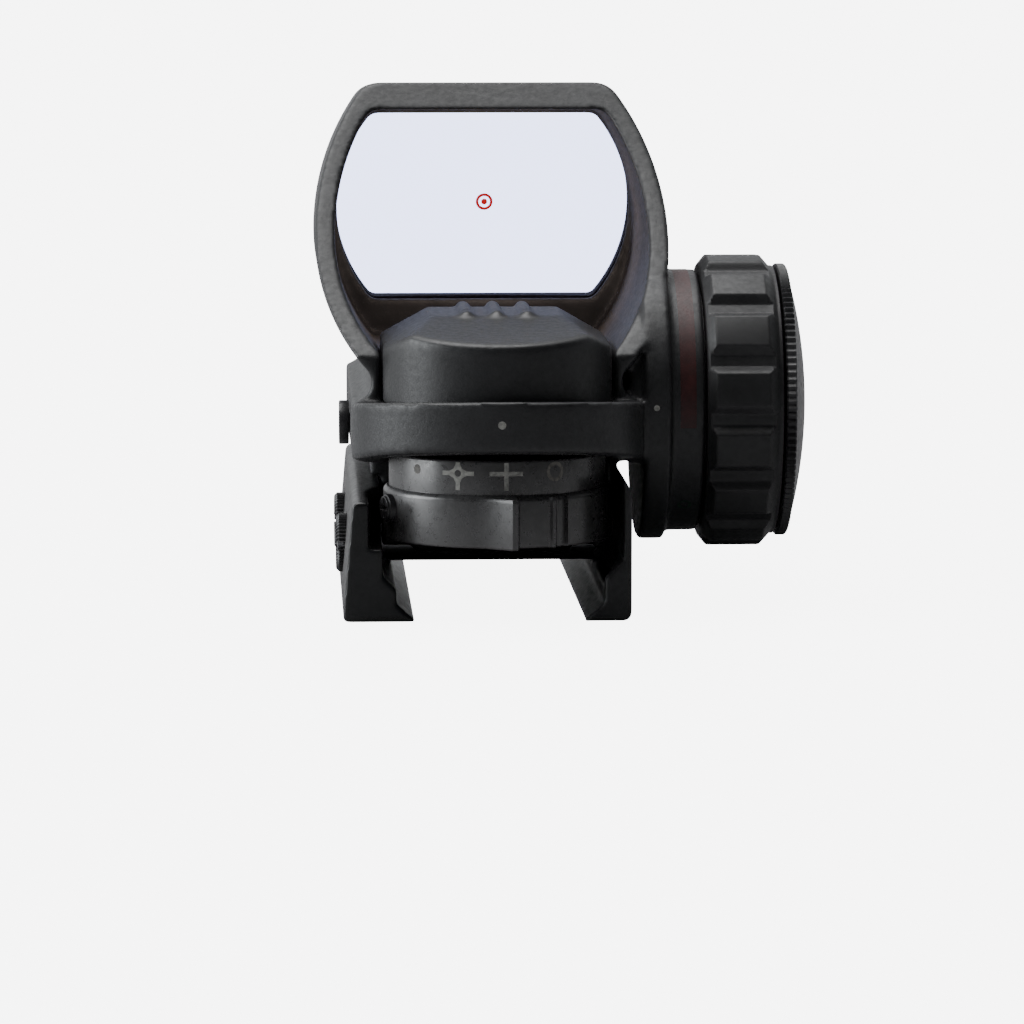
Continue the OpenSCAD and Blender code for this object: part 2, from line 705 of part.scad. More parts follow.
module battery()
    color("silver") {
        on_dial(cell_x) cylinder(h = 0.3, r = cell_r - 1.2);
        on_dial(cell_x + 0.28) cylinder(h = cell_t - 0.33, r = cell_r);
    }

// Radius of the sphere that the cap's dome is cut from
function dome_r() = let (h = cap_x[2] - cap_x[1]) (pow(cap_r - 0.6, 2) + h * h) / (2 * h);

module battery_cap()
    color("dimgray") difference() {
        union() {
            on_dial(cell_x + cell_t + 0.1) cylinder(h = cap_x[0] - cell_x - cell_t, r = thread_r);
            on_dial(cap_x[0]) cylinder(h = cap_x[1] - cap_x[0], r = cap_r);
            intersection() {
                on_dial(cap_x[2] - dome_r()) sphere(r = dome_r(), $fn = 128);
                on_dial(cap_x[0]) cylinder(h = 5, r = cap_r - 0.6);
            }
        }
        on_dial(cell_x) difference() {
            cylinder(h = cap_x[0] - cell_x - 0.8, r = thread_r - 1.6);
            translate([0, 0, -1]) cylinder(h = 10, r = 3);
        }
        on_dial(cap_x[0] - 0.8) difference() {
            cylinder(h = 0.8, r = thread_r + 1);
            translate([0, 0, -1]) cylinder(h = 3, r = thread_r - 0.5);
        }
    }

module cap_seal()
    color("black") on_dial(cap_x[0] - 0.42) rotate_extrude() translate([thread_r - 0.23, 0]) circle(0.25);

main_housing();
emitter_cover();
cover_screws();
emitter_window();
objective_lens();
lens_retainer();
selector_wheel();
wheel_set_screw();
selector_shaft();
shaft_clip();
wheel_detent_ball();
wheel_detent_spring();
reticle_drum();
windage_carriage();
windage_screw();
windage_clip();
windage_spring();
elevation_block();
elevation_screw();
guide_pins();
elevation_springs();
led_board();
led();
lead_wires();
clamp_studs();
clamp_jaw();
clamp_nut_rear();
clamp_nut_front();
switch_board();
board_screws();
dial_detent_ball();
dial_detent_spring();
brightness_dial();
dial_axle_screw();
dial_seal();
dial_wiper();
battery_spring();
battery();
battery_cap();
cap_seal();
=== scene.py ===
import json
import math

import bmesh
import bpy
import numpy as np
from mathutils import Matrix, Vector


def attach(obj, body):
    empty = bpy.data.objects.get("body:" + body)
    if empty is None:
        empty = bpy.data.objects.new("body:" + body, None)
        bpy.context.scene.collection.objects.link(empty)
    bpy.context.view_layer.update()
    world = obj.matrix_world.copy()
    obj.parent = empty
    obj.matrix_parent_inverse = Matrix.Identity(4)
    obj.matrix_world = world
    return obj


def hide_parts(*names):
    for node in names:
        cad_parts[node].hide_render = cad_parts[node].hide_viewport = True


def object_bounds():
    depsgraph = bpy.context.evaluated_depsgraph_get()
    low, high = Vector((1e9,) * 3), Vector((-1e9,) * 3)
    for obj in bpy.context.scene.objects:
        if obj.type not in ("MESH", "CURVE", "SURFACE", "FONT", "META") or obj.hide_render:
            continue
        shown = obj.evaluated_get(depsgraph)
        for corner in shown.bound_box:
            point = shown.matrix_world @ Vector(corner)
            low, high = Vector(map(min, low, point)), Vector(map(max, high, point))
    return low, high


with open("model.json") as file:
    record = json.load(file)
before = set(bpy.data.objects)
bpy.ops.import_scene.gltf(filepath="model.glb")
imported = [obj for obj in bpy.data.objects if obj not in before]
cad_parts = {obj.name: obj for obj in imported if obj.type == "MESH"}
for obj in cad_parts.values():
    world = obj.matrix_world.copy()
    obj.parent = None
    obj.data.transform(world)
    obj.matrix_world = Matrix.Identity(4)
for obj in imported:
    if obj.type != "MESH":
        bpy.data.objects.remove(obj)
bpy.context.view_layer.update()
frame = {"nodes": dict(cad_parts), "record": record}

MM = 0.001
TURN = 2 * math.pi

# Places and sizes that the CAD model and this scene share, in millimetres
WHEEL_Y = -22.0
BODY_R = 15.4
WHEEL_R = 12.1
RING_R = 11.5
DIAL_Y = -7.0
DIAL_Z = 16.3
DIAL_R = 15.85
CAP_R = 14.8
CAP_TOP = 33.95
DOME_RISE = 2.05
LENS_Y = 19.0
LENS_Z = 36.3
LENS_TILT = math.radians(8)
LENS_CURVE = 150.0
LENS_R = 17.3
LENS_HALF = 11.5
LENS_CORNER = 1.2
LENS_THICK = 2
LENS_CHAMFER = 0.2
STUD_Z = 0.7
STUD_YS = {"rear": -6.0, "front": 14.0}

# The wheel's skirt: a ramped finger tab, a small ridge and a groove, in degrees and millimetres
SKIRT_TOP = 8.75
TAB_START = -14
TAB_END = 4
TAB_EDGE = 6.5
TAB_HEEL = 9
TAB_OUT = 2.0
TAB_FALL = 1.05
RIDGE_AT = 26
RIDGE_OUT = 0.55
GROOVE_AT = 33
GROOVE_IN = 0.5

# Where the user sees the reticle, from the middle of the glass
RETICLE_X = 0.25
RETICLE_Z = 0.2

# The dial's grip pads and the straight knurls of the cap and the nuts
PADS = 15
PAD_AT = 45
PAD_RISE = 0.75
VALLEY_HALF = 0.6
VALLEY_SIDE = 1.0
CAP_KNURLS = 120
CAP_KNURL_DEPTH = 0.24
NUT_KNURLS = 46
NUT_KNURL_DEPTH = 0.2


# ---------------------------------------------------------------- mesh helpers

def add_piece(name, mesh, body, material, replaces=()):
    """Links a mesh as a piece, puts it on its body and gives it its finish."""
    piece = bpy.data.objects.new(name, mesh)
    bpy.context.scene.collection.objects.link(piece)
    piece.data.materials.clear()
    piece.data.materials.append(material)
    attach(piece, body)
    if replaces:
        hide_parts(*replaces)
    return piece


def make_mesh(name, verts, faces):
    """A mesh from points in millimetres, with doubled points merged and faces turned outwards."""
    mesh = bpy.data.meshes.new(name)
    mesh.from_pydata([Vector(v) * MM for v in verts], [], faces)
    work = bmesh.new()
    work.from_mesh(mesh)
    bmesh.ops.remove_doubles(work, verts=work.verts, dist=1e-6)
    bmesh.ops.recalc_face_normals(work, faces=work.faces)
    work.to_mesh(mesh)
    work.free()
    return mesh


def shade_by_angle(mesh, degrees):
    """Smooth shading, broken where two faces meet at more than the given angle."""
    mesh.shade_smooth()
    mesh.set_sharp_from_angle(angle=math.radians(degrees))


def applied(mesh, *steps):
    """The mesh after a list of modifiers, each given as (type, {setting: value})."""
    holder = bpy.data.objects.new("holder", mesh)
    bpy.context.scene.collection.objects.link(holder)
    for kind, settings in steps:
        modifier = holder.modifiers.new(kind.lower(), kind)
        for key, value in settings.items():
            setattr(modifier, key, value)
    bpy.context.view_layer.update()
    view = bpy.context.evaluated_depsgraph_get()
    result = bpy.data.meshes.new_from_object(holder.evaluated_get(view))
    bpy.data.objects.remove(holder)
    return result


def node_copy(node):
    """A welded copy of a CAD node's mesh, with its flat faces joined up again."""
    mesh = frame["nodes"][node].data.copy()
    work = bmesh.new()
    work.from_mesh(mesh)
    bmesh.ops.remove_doubles(work, verts=work.verts, dist=2e-6)
    bmesh.ops.dissolve_limit(work, angle_limit=math.radians(0.5), verts=work.verts, edges=work.edges)
    work.to_mesh(mesh)
    work.free()
    return mesh


def relax(mesh, rounds, weight=None):
    """Evens out a fine mesh by moving each point towards its neighbours' middle."""
    count = len(mesh.vertices)
    points = np.empty(count * 3)
    mesh.vertices.foreach_get("co", points)
    points = points.reshape(-1, 3)
    edges = np.empty(len(mesh.edges) * 2, dtype=np.int64)
    mesh.edges.foreach_get("vertices", edges)
    edges = edges.reshape(-1, 2)
    share = np.bincount(edges.ravel(), minlength=count)[:, None]
    pull = 0.5 if weight is None else 0.5 * weight(points / MM)[:, None]
    for _ in range(rounds):
        total = np.zeros_like(points)
        for axis in range(3):
            total[:, axis] = np.bincount(edges[:, 0], points[edges[:, 1], axis], count)
            total[:, axis] += np.bincount(edges[:, 1], points[edges[:, 0], axis], count)
        points += pull * (total / share - points)
    mesh.vertices.foreach_set("co", points.ravel())
    mesh.update()


def cast_piece(name, node, body, material, voxel, rounds, extra=None, most=420000):
    """A die-cast version of a CAD node: the same shape with softly rounded edges and corners."""
    source = frame["nodes"][node].data.copy()
    work = bmesh.new()
    work.from_mesh(source)
    bmesh.ops.remove_doubles(work, verts=work.verts, dist=2e-6)
    work.to_mesh(source)
    work.free()
    mesh = applied(source, ("REMESH", {"mode": "VOXEL", "voxel_size": voxel * MM, "adaptivity": 0.0}))
    relax(mesh, rounds)
    if extra:
        relax(mesh, *extra)
    triangles = 2 * len(mesh.polygons)
    if triangles > most:
        mesh = applied(mesh, ("DECIMATE", {"ratio": most / triangles}))
    mesh.shade_smooth()
    return add_piece(name, mesh, body, material, [node])


def bevelled_piece(name, node, body, material, width, segments=2):
    """A CAD node with the small edge breaks that a machined part has."""
    mesh = applied(node_copy(node), ("BEVEL", {
        "width": width * MM, "segments": segments, "limit_method": "ANGLE",
        "angle_limit": math.radians(38), "use_clamp_overlap": True}))
    shade_by_angle(mesh, 32)
    return add_piece(name, mesh, body, material, [node])


def rounded(outline, steps=3):
    """Rounds the corners of a closed outline of (r, h) or (r, h, radius) points."""
    result = []
    count = len(outline)
    for i, corner in enumerate(outline):
        here = Vector(corner[:2])
        radius = corner[2] if len(corner) > 2 else 0
        if not radius:
            result.append(tuple(here))
            continue
        before = Vector(outline[i - 1][:2]) - here
        after = Vector(outline[(i + 1) % count][:2]) - here
        reach = min(radius, before.length * 0.45, after.length * 0.45)
        start = here + before.normalized() * reach
        end = here + after.normalized() * reach
        for k in range(steps + 1):
            t = k / steps
            result.append(tuple((1 - t) ** 2 * start + 2 * t * (1 - t) * here + t * t * end))
    return result


def spin(name, outline, count, place, shape=None):
    """Turns a closed (r, h) outline into a ring; shape(turn, r, h) may change a point's radius."""
    verts, faces = [], []
    size = len(outline)
    for step in range(count):
        turn = TURN * step / count
        for r, h in outline:
            verts.append(place(turn, shape(turn, r, h) if shape else r, h))
    for step in range(count):
        here, there = step * size, (step + 1) % count * size
        for k in range(size):
            j = (k + 1) % size
            faces.append((here + k, there + k, there + j, here + j))
    return make_mesh(name, verts, faces)


def on_dial(turn, r, h):
    """A point on the dial's axis system: turn is 0 at the top and grows towards the user."""
    return (h, DIAL_Y - r * math.sin(turn), DIAL_Z + r * math.cos(turn))


def on_wheel(turn, r, h):
    """A point about the wheel's axis: turn is 0 at the rear and grows towards +X."""
    return (r * math.sin(turn), WHEEL_Y - r * math.cos(turn), h)


def apart(turn, centre):
    """Signed angle in degrees from centre to turn, both ways round at most 180."""
    return (math.degrees(turn) - centre + 180) % 360 - 180


def ease(t):
    """A smooth step from 0 to 1."""
    t = min(max(t, 0), 1)
    return t * t * (3 - 2 * t)


def cut_away(mesh, cutter):
    """The mesh with a cutter's volume taken out."""
    tool = bpy.data.objects.new("cutter", cutter)
    bpy.context.scene.collection.objects.link(tool)
    result = applied(mesh, ("BOOLEAN", {"operation": "DIFFERENCE", "solver": "EXACT", "object": tool}))
    bpy.data.objects.remove(tool)
    return result


def box_mesh(low, high):
    """A closed box given by two corners, as a cutter."""
    xs, ys, zs = zip(low, high)
    verts = [(x, y, z) for x in xs for y in ys for z in zs]
    faces = [(0, 1, 3, 2), (4, 6, 7, 5), (0, 4, 5, 1), (2, 3, 7, 6), (0, 2, 6, 4), (1, 5, 7, 3)]
    return make_mesh("box", verts, faces)


# ---------------------------------------------------------------- materials

def new_material(name):
    """An empty node material with its shader and output, and a helper that adds nodes."""
    material = bpy.data.materials.new(name)
    material.use_nodes = True
    tree = material.node_tree
    tree.nodes.clear()
    out = tree.nodes.new("ShaderNodeOutputMaterial")
    shader = tree.nodes.new("ShaderNodeBsdfPrincipled")
    tree.links.new(shader.outputs["BSDF"], out.inputs["Surface"])
    return material, tree, shader, out


def noise(tree, scale, detail=3.0, rough=0.55, stretch=None):
    """Noise in the piece's own space, at a scale in features per metre."""
    place = tree.nodes.new("ShaderNodeTexCoord").outputs["Object"]
    if stretch:
        mapping = tree.nodes.new("ShaderNodeMapping")
        mapping.inputs["Scale"].default_value = stretch
        tree.links.new(place, mapping.inputs["Vector"])
        place = mapping.outputs["Vector"]
    texture = tree.nodes.new("ShaderNodeTexNoise")
    texture.inputs["Scale"].default_value = scale
    texture.inputs["Detail"].default_value = detail
    texture.inputs["Roughness"].default_value = rough
    tree.links.new(place, texture.inputs["Vector"])
    return texture.outputs["Fac"]


def ranged(tree, value, low, high, into, start=0.3, end=0.7):
    """Maps a value between two limits to a range, and feeds it to a socket."""
    node = tree.nodes.new("ShaderNodeMapRange")
    node.inputs["From Min"].default_value = start
    node.inputs["From Max"].default_value = end
    node.inputs["To Min"].default_value = low
    node.inputs["To Max"].default_value = high
    tree.links.new(value, node.inputs["Value"])
    tree.links.new(node.outputs["Result"], into)


def blended(tree, factor, low, high, into):
    """Blends two colours by a factor, and feeds the result to a socket."""
    ramp = tree.nodes.new("ShaderNodeValToRGB")
    ramp.color_ramp.elements[0].position = 0.32
    ramp.color_ramp.elements[1].position = 0.68
    ramp.color_ramp.elements[0].color = (*low, 1)
    ramp.color_ramp.elements[1].color = (*high, 1)
    tree.links.new(factor, ramp.inputs["Fac"])
    if into is not None:
        tree.links.new(ramp.outputs["Color"], into)
    return ramp.outputs["Color"]


def scaled(colour, share):
    """A colour made lighter or darker by a share."""
    return tuple(min(1.0, c * share) for c in colour)


def worn_finish(name, colour, rough, grain=1500, bump=0.05, metal=0.0, wear=0.0, vary=0.22,
                specular=0.5, stretch=None, coat=0.0, mottle=260):
    """A finish with fine grain, slow colour drift, uneven gloss and paler worn edges."""
    material, tree, shader, _ = new_material(name)
    fine = noise(tree, grain, 4.0, 0.6, stretch)
    slow = noise(tree, mottle, 3.0, 0.5)
    base = blended(tree, slow, scaled(colour, 1 - vary), scaled(colour, 1 + vary), None)
    if wear:
        edge = tree.nodes.new("ShaderNodeNewGeometry").outputs["Pointiness"]
        worn = tree.nodes.new("ShaderNodeMix")
        worn.data_type = "RGBA"
        ranged(tree, edge, 0.0, wear, worn.inputs["Factor"], 0.52, 0.60)
        tree.links.new(base, worn.inputs["A"])
        speckle = blended(tree, fine, scaled(colour, 1.6), scaled(colour, 3.2), None)
        tree.links.new(speckle, worn.inputs["B"])
        tree.links.new(worn.outputs["Result"], shader.inputs["Base Color"])
    else:
        tree.links.new(base, shader.inputs["Base Color"])
    shader.inputs["Metallic"].default_value = metal
    shader.inputs["Specular IOR Level"].default_value = specular
    if coat:
        shader.inputs["Coat Weight"].default_value = coat
        shader.inputs["Coat Roughness"].default_value = 0.2
    ranged(tree, fine, rough - 0.07, rough + 0.09, shader.inputs["Roughness"])
    relief = tree.nodes.new("ShaderNodeBump")
    relief.inputs["Strength"].default_value = bump
    relief.inputs["Distance"].default_value = 0.0002
    tree.links.new(fine, relief.inputs["Height"])
    tree.links.new(relief.outputs["Normal"], shader.inputs["Normal"])
    return material


def clear_glass(name, tint, rough, passing):
    """Tinted glass that casts hardly any shadow; passing is the colour of the light it lets through."""
    material, tree, shader, out = new_material(name)
    smear = noise(tree, 140, 3.0, 0.6)
    blended(tree, smear, scaled(tint, 0.985), tint, shader.inputs["Base Color"])
    shader.inputs["Transmission Weight"].default_value = 1.0
    shader.inputs["IOR"].default_value = 1.45
    ranged(tree, smear, rough, rough + 0.015, shader.inputs["Roughness"])
    clear = tree.nodes.new("ShaderNodeBsdfTransparent")
    clear.inputs["Color"].default_value = (*passing, 1)
    path = tree.nodes.new("ShaderNodeLightPath")
    mix = tree.nodes.new("ShaderNodeMixShader")
    tree.links.new(path.outputs["Is Shadow Ray"], mix.inputs["Fac"])
    tree.links.new(shader.outputs["BSDF"], mix.inputs[1])
    tree.links.new(clear.outputs["BSDF"], mix.inputs[2])
    tree.links.new(mix.outputs["Shader"], out.inputs["Surface"])
    return material


def glowing(name, colour, strength):
    """The lit reticle, with the faint unevenness of an etched mask."""
    material, tree, shader, _ = new_material(name)
    etch = noise(tree, 9000, 2.0)
    blended(tree, etch, scaled(colour, 0.9), colour, shader.inputs["Emission Color"])
    shader.inputs["Base Color"].default_value = (*scaled(colour, 0.03), 1)
    shader.inputs["Emission Strength"].default_value = strength
    shader.inputs["Roughness"].default_value = 0.6
    return material


M = {
    "body_black": worn_finish("body_anodised", (0.018, 0.0185, 0.020), 0.46, 1700, 0.16, wear=0.15),
    "cover_black": worn_finish("cover_anodised", (0.018, 0.0185, 0.020), 0.43, 1500, 0.11, wear=0.12),
    "wheel_black": worn_finish("wheel_anodised", (0.046, 0.045, 0.046), 0.31, 1300, 0.02, specular=0.9),
    "clamp_black": worn_finish("clamp_anodised", (0.007, 0.0072, 0.008), 0.36, 1500, 0.06, wear=0.15,
                               specular=0.5),
    "dial_black": worn_finish("dial_anodised", (0.018, 0.0182, 0.0195), 0.48, 1600, 0.05, wear=0.20,
                              specular=0.45),
    "cap_black": worn_finish("cap_anodised", (0.018, 0.0185, 0.020), 0.38, 1400, 0.05, wear=0.20),
    "screw_black": worn_finish("black_oxide_steel", (0.022, 0.0215, 0.023), 0.36, 2200, 0.05, wear=0.35),
    "screw_steel": worn_finish("turned_steel", (0.42, 0.42, 0.44), 0.34, 900, 0.04, metal=1.0, vary=0.12,
                               stretch=(1, 1, 6)),
    "spring_steel": worn_finish("spring_wire", (0.55, 0.55, 0.57), 0.30, 1800, 0.04, metal=1.0, vary=0.10),
    "inner_aluminium": worn_finish("milled_aluminium", (0.62, 0.62, 0.64), 0.38, 700, 0.06, metal=1.0,
                                   vary=0.08, stretch=(1, 8, 1)),
    "drum_black": worn_finish("moulded_black", (0.022, 0.022, 0.024), 0.55, 2600, 0.06),
    "retainer_black": worn_finish("matt_lacquer", (0.018, 0.018, 0.020), 0.62, 2400, 0.08, wear=0.2),
    "seal_rubber": worn_finish("rubber", (0.018, 0.018, 0.018), 0.70, 2000, 0.08, specular=0.3),
    "contact_brass": worn_finish("spring_brass", (0.74, 0.55, 0.24), 0.30, 900, 0.03, metal=1.0, vary=0.10),
    "board_green": worn_finish("solder_mask", (0.030, 0.150, 0.060), 0.32, 500, 0.05, vary=0.30, coat=0.4),
    "led_clear": worn_finish("led_epoxy", (0.80, 0.76, 0.74), 0.12, 900, 0.01, vary=0.04, coat=0.5),
    "lead_red": worn_finish("lead_insulation", (0.50, 0.040, 0.035), 0.42, 1600, 0.05, vary=0.12),
    "cell_steel": worn_finish("nickel_plate", (0.70, 0.70, 0.71), 0.20, 600, 0.02, metal=1.0, vary=0.06),
    "mark_white": worn_finish("white_print", (0.30, 0.30, 0.28), 0.62, 5000, 0.10, vary=0.25, mottle=2500),
    "mark_red": worn_finish("red_print", (0.040, 0.007, 0.007), 0.50, 5000, 0.06, vary=0.25, mottle=900),
    "mark_green": worn_finish("green_print", (0.010, 0.030, 0.017), 0.50, 5000, 0.06, vary=0.3, mottle=900),
    "lens_glass": clear_glass("coated_glass", (0.46, 0.50, 0.74), 0.0, (0.66, 0.58, 0.54)),
    "port_glass": clear_glass("port_glass", (0.90, 0.92, 0.95), 0.02, (0.90, 0.92, 0.95)),
}
faint_mark = worn_finish("worn_print", (0.150, 0.142, 0.130), 0.60, 5000, 0.06, vary=0.35, mottle=2500)
reticle_glow = glowing("lit_reticle", (0.78, 0.001, 0.006), 0.62)

# Every CAD node that stays visible gets its slot's procedural finish
slots = {part["node"]: part["material_slot"] for part in frame["record"]["subparts"]}
for node, slot_name in slots.items():
    mesh = frame["nodes"][node].data
    mesh.materials.clear()
    mesh.materials.append(M[slot_name])


# ---------------------------------------------------------------- cast and machined parts

def hump_edge(points):
    """1 on the rear edge and the crease of the emitter cover, 0 on its ribs and its front."""
    behind = np.clip((-19.4 - points[:, 1]) / 0.8, 0, 1)
    high = np.clip((points[:, 2] - 21.5) / 1.5, 0, 1)
    return behind * high


cast_piece("housing_casting", "main_housing", "housing", M["body_black"], 0.24, 9)
cast_piece("cover_casting", "emitter_cover", "housing", M["cover_black"], 0.15, 9,
           extra=(45, hump_edge))
cast_piece("jaw_casting", "clamp_jaw", "jaw", M["clamp_black"], 0.22, 5)

bevelled_piece("retaining_frame", "lens_retainer", "housing", M["retainer_black"], 0.12)
bevelled_piece("emitter_glass", "emitter_window", "housing", M["port_glass"], 0.08)
bevelled_piece("cover_socket_screws", "cover_screws", "housing", M["screw_black"], 0.08)
bevelled_piece("set_screw", "wheel_set_screw", "selector", M["screw_black"], 0.08)
bevelled_piece("windage_socket_screw", "windage_screw", "windage_adjuster",
               M["screw_black"], 0.14)
bevelled_piece("elevation_socket_screw", "elevation_screw", "elevation_adjuster",
               M["screw_black"], 0.12)


# ---------------------------------------------------------------- selector wheel

def skirt_radius(turn, r, h):
    """The skirt's radius with its finger tab, its ridge and its groove."""
    if r < RING_R + 0.1:
        return r
    inset = WHEEL_R - r
    angle = apart(turn, 0)
    top = WHEEL_R
    if h < SKIRT_TOP:
        if TAB_START < angle <= TAB_EDGE:
            along = (min(angle, TAB_END) - TAB_START) / (TAB_END - TAB_START)
            top += TAB_OUT * along ** 2
        elif TAB_EDGE < angle < TAB_HEEL:
            top += max(0, TAB_OUT - (angle - TAB_EDGE) * TAB_FALL)
        top += RIDGE_OUT * (1 - ease(abs(angle - RIDGE_AT) / 2.5))
    top -= GROOVE_IN * (1 - ease(abs(angle - GROOVE_AT) - 1.1))
    return top - inset


wheel_outline = rounded([
    (2.0, 12.5), (RING_R, 12.5, 0.25), (RING_R, 8.9), (11.75, 8.9, 0.05), (WHEEL_R, 8.5, 0.25),
    (WHEEL_R, 6.0), (WHEEL_R, 3.4, 0.25), (9.5, 3.4, 0.15), (9.5, 5.0), (2.0, 5.0)])
wheel = spin("selector_knob", wheel_outline, 1080, on_wheel, skirt_radius)
shade_by_angle(wheel, 35)
add_piece("selector_knob", wheel, "selector", M["wheel_black"], ["selector_wheel"])


# ---------------------------------------------------------------- brightness dial and cap

def grip_radius(turn, r, h):
    """The dial's radius, cut back by the trapezoid valleys between its grip pads."""
    if h < 22.3 or r < 14:
        return r
    pitch = 360 / PADS
    away = abs((math.degrees(turn) - PAD_AT + pitch / 2) % pitch - pitch / 2)
    side = math.radians(away) * DIAL_R
    rise = min(max((side - VALLEY_HALF) / VALLEY_SIDE, 0), 1)
    rise = 0.6 * rise + 0.4 * ease(rise)
    return min(r, DIAL_R - PAD_RISE + PAD_RISE * rise)


dial_outline = rounded([
    (1.55, 22.4), (1.55, 20.2), (12.5, 20.2, 0.2), (12.5, 22.4), (14.75, 22.4, 0.15), (15.1, 22.69),
    (15.5, 23.01), (DIAL_R, 23.3, 0.3), (DIAL_R, 26.0), (DIAL_R, 29.0, 0.3), (15.5, 29.31),
    (15.1, 29.66), (14.6, 30.1, 0.15), (14.6, 30.5, 0.1), (11.6, 30.5, 0.15), (11.6, 27.8),
    (10.6, 27.8), (10.6, 23.6), (3.2, 23.6), (3.2, 22.4)])
dial = spin("dial_grip", dial_outline, 1080, on_dial, grip_radius)
shade_by_angle(dial, 24)
add_piece("dial_grip", dial, "dial", M["dial_black"], ["brightness_dial"])


def knurl_radius(turn, r, h):
    """Fine straight knurling round the cap's edge."""
    if r < 14.5:
        return r
    wave = abs((turn / TURN * CAP_KNURLS) % 1 - 0.5) * 2
    return r - CAP_KNURL_DEPTH * wave


dome_edge = CAP_R - 0.6
dome_r = (dome_edge ** 2 + DOME_RISE ** 2) / (2 * DOME_RISE)
dome_steps = 17
dome = []
for k in range(dome_steps + 1):
    r = dome_edge * (1 - k / dome_steps)
    dome.append((r, CAP_TOP - dome_r + math.sqrt(dome_r ** 2 - r * r)))
cap_outline = rounded([
    (0, 27.9), (3.0, 27.9), (3.0, 30.0), (9.9, 30.0), (9.9, 27.9), (11.5, 27.9, 0.2), (11.5, 30.0),
    (11.0, 30.0), (11.0, 30.8), (14.65, 30.8), (CAP_R, 30.95), (CAP_R, 31.75), (14.65, 31.9)]) + dome
cap = spin("cell_cap", cap_outline, 960, on_dial, knurl_radius)
shade_by_angle(cap, 30)
add_piece("cell_cap", cap, "cap", M["cap_black"], ["battery_cap"])


# ---------------------------------------------------------------- clamp nuts

def nut_radius(turn, r, h):
    """Straight knurling round a clamp nut."""
    if r < 2.85:
        return r
    wave = abs((turn / TURN * NUT_KNURLS) % 1 - 0.5) * 2
    return r - NUT_KNURL_DEPTH * ease(wave)


nut_outline = rounded([
    (2.05, -14.05), (3.2, -14.05, 0.15), (3.2, -16.65), (2.85, -17.0, 0.15), (2.05, -17.0)])
for side, stud_y in STUD_YS.items():
    def on_stud(turn, r, h, y=stud_y):
        return (h, y + r * math.sin(turn), STUD_Z + r * math.cos(turn))

    nut = spin("knurled_nut", nut_outline, 368, on_stud, nut_radius)
    nut = cut_away(nut, box_mesh((-18, stud_y - 4, STUD_Z - 0.45), (-16.2, stud_y + 4, STUD_Z + 0.45)))
    shade_by_angle(nut, 30)
    add_piece("knurled_nut_" + side, nut, side + "_nut", M["screw_black"],
              ["clamp_nut_" + side])


# ---------------------------------------------------------------- lens and reticle

def capped_outline(r, half, corner):
    """A disc with a flat top and bottom and rounded corners, as points (x, z) going round."""
    z = half - corner
    x = math.sqrt((r - corner) ** 2 - z * z)
    low = math.atan2(z, x)
    quarter = [(r * math.cos(low * k / 14), r * math.sin(low * k / 14)) for k in range(15)]
    for k in range(1, 7):
        a = low + (math.pi / 2 - low) * k / 6
        quarter.append((x + corner * math.cos(a), z + corner * math.sin(a)))
    quarter += [(x * (1 - k / 8), half) for k in range(1, 9)]
    upper = quarter + [(-a, b) for a, b in reversed(quarter[:-1])]
    return upper + [(a, -b) for a, b in reversed(upper[1:-1])]


def on_lens(x, y, z):
    """A point of the lens's own leaning frame."""
    lean = Matrix.Rotation(LENS_TILT, 3, "X") @ Vector((x, y, z))
    return (lean.x, lean.y + LENS_Y, lean.z + LENS_Z)


def lens_face(x, z, depth):
    """Where the glass's rear (depth 0) or front face lies."""
    return math.sqrt((LENS_CURVE + depth) ** 2 - x * x - z * z) - LENS_CURVE


def lens_mesh():
    """The glass: two spherical faces and a ground edge with two small chamfers."""
    edge = capped_outline(LENS_R, LENS_HALF, LENS_CORNER)
    count = len(edge)
    shares = (0.02, 0.2, 0.4, 0.6, 0.8, 0.92, 0.985)
    layers = []
    for share in shares:
        layers.append([(x * share, lens_face(x * share, z * share, 0), z * share) for x, z in edge])
    layers.append([(x, lens_face(x, z, 0) + LENS_CHAMFER, z) for x, z in edge])
    layers.append([(x, lens_face(x, z, LENS_THICK) - LENS_CHAMFER, z) for x, z in edge])
    for share in reversed(shares):
        layers.append([(x * share, lens_face(x * share, z * share, LENS_THICK), z * share)
                       for x, z in edge])
    verts = [on_lens(*p) for layer in layers for p in layer]
    faces = [tuple(range(count)), tuple(range((len(layers) - 1) * count, len(layers) * count))]
    for i in range(len(layers) - 1):
        for k in range(count):
            j = (k + 1) % count
            faces.append((i * count + k, i * count + j, (i + 1) * count + j, (i + 1) * count + k))
    return make_mesh("glass", verts, faces)


glass = lens_mesh()
shade_by_angle(glass, 25)
add_piece("lens_glass", glass, "housing", M["lens_glass"], ["objective_lens"])


def flat_shape(outlines, holes=()):
    """Triangles and points of a flat shape, from outlines given as lists of (u, v)."""
    work = bmesh.new()
    edges = []
    for ring in list(outlines) + list(holes):
        points = [work.verts.new((u, v, 0)) for u, v in ring]
        for i, point in enumerate(points):
            edges.append(work.edges.new((point, points[(i + 1) % len(points)])))
    bmesh.ops.triangle_fill(work, use_beauty=True, use_dissolve=False, edges=edges)
    bmesh.ops.subdivide_edges(work, edges=work.edges, cuts=2, use_grid_fill=True)
    bmesh.ops.triangulate(work, faces=work.faces)
    work.verts.index_update()
    points = [tuple(p.co.xy) for p in work.verts]
    faces = [tuple(p.index for p in face.verts) for face in work.faces]
    rim = [tuple(p.index for p in edge.verts) for edge in work.edges if len(edge.link_faces) == 1]
    work.free()
    return points, faces, rim


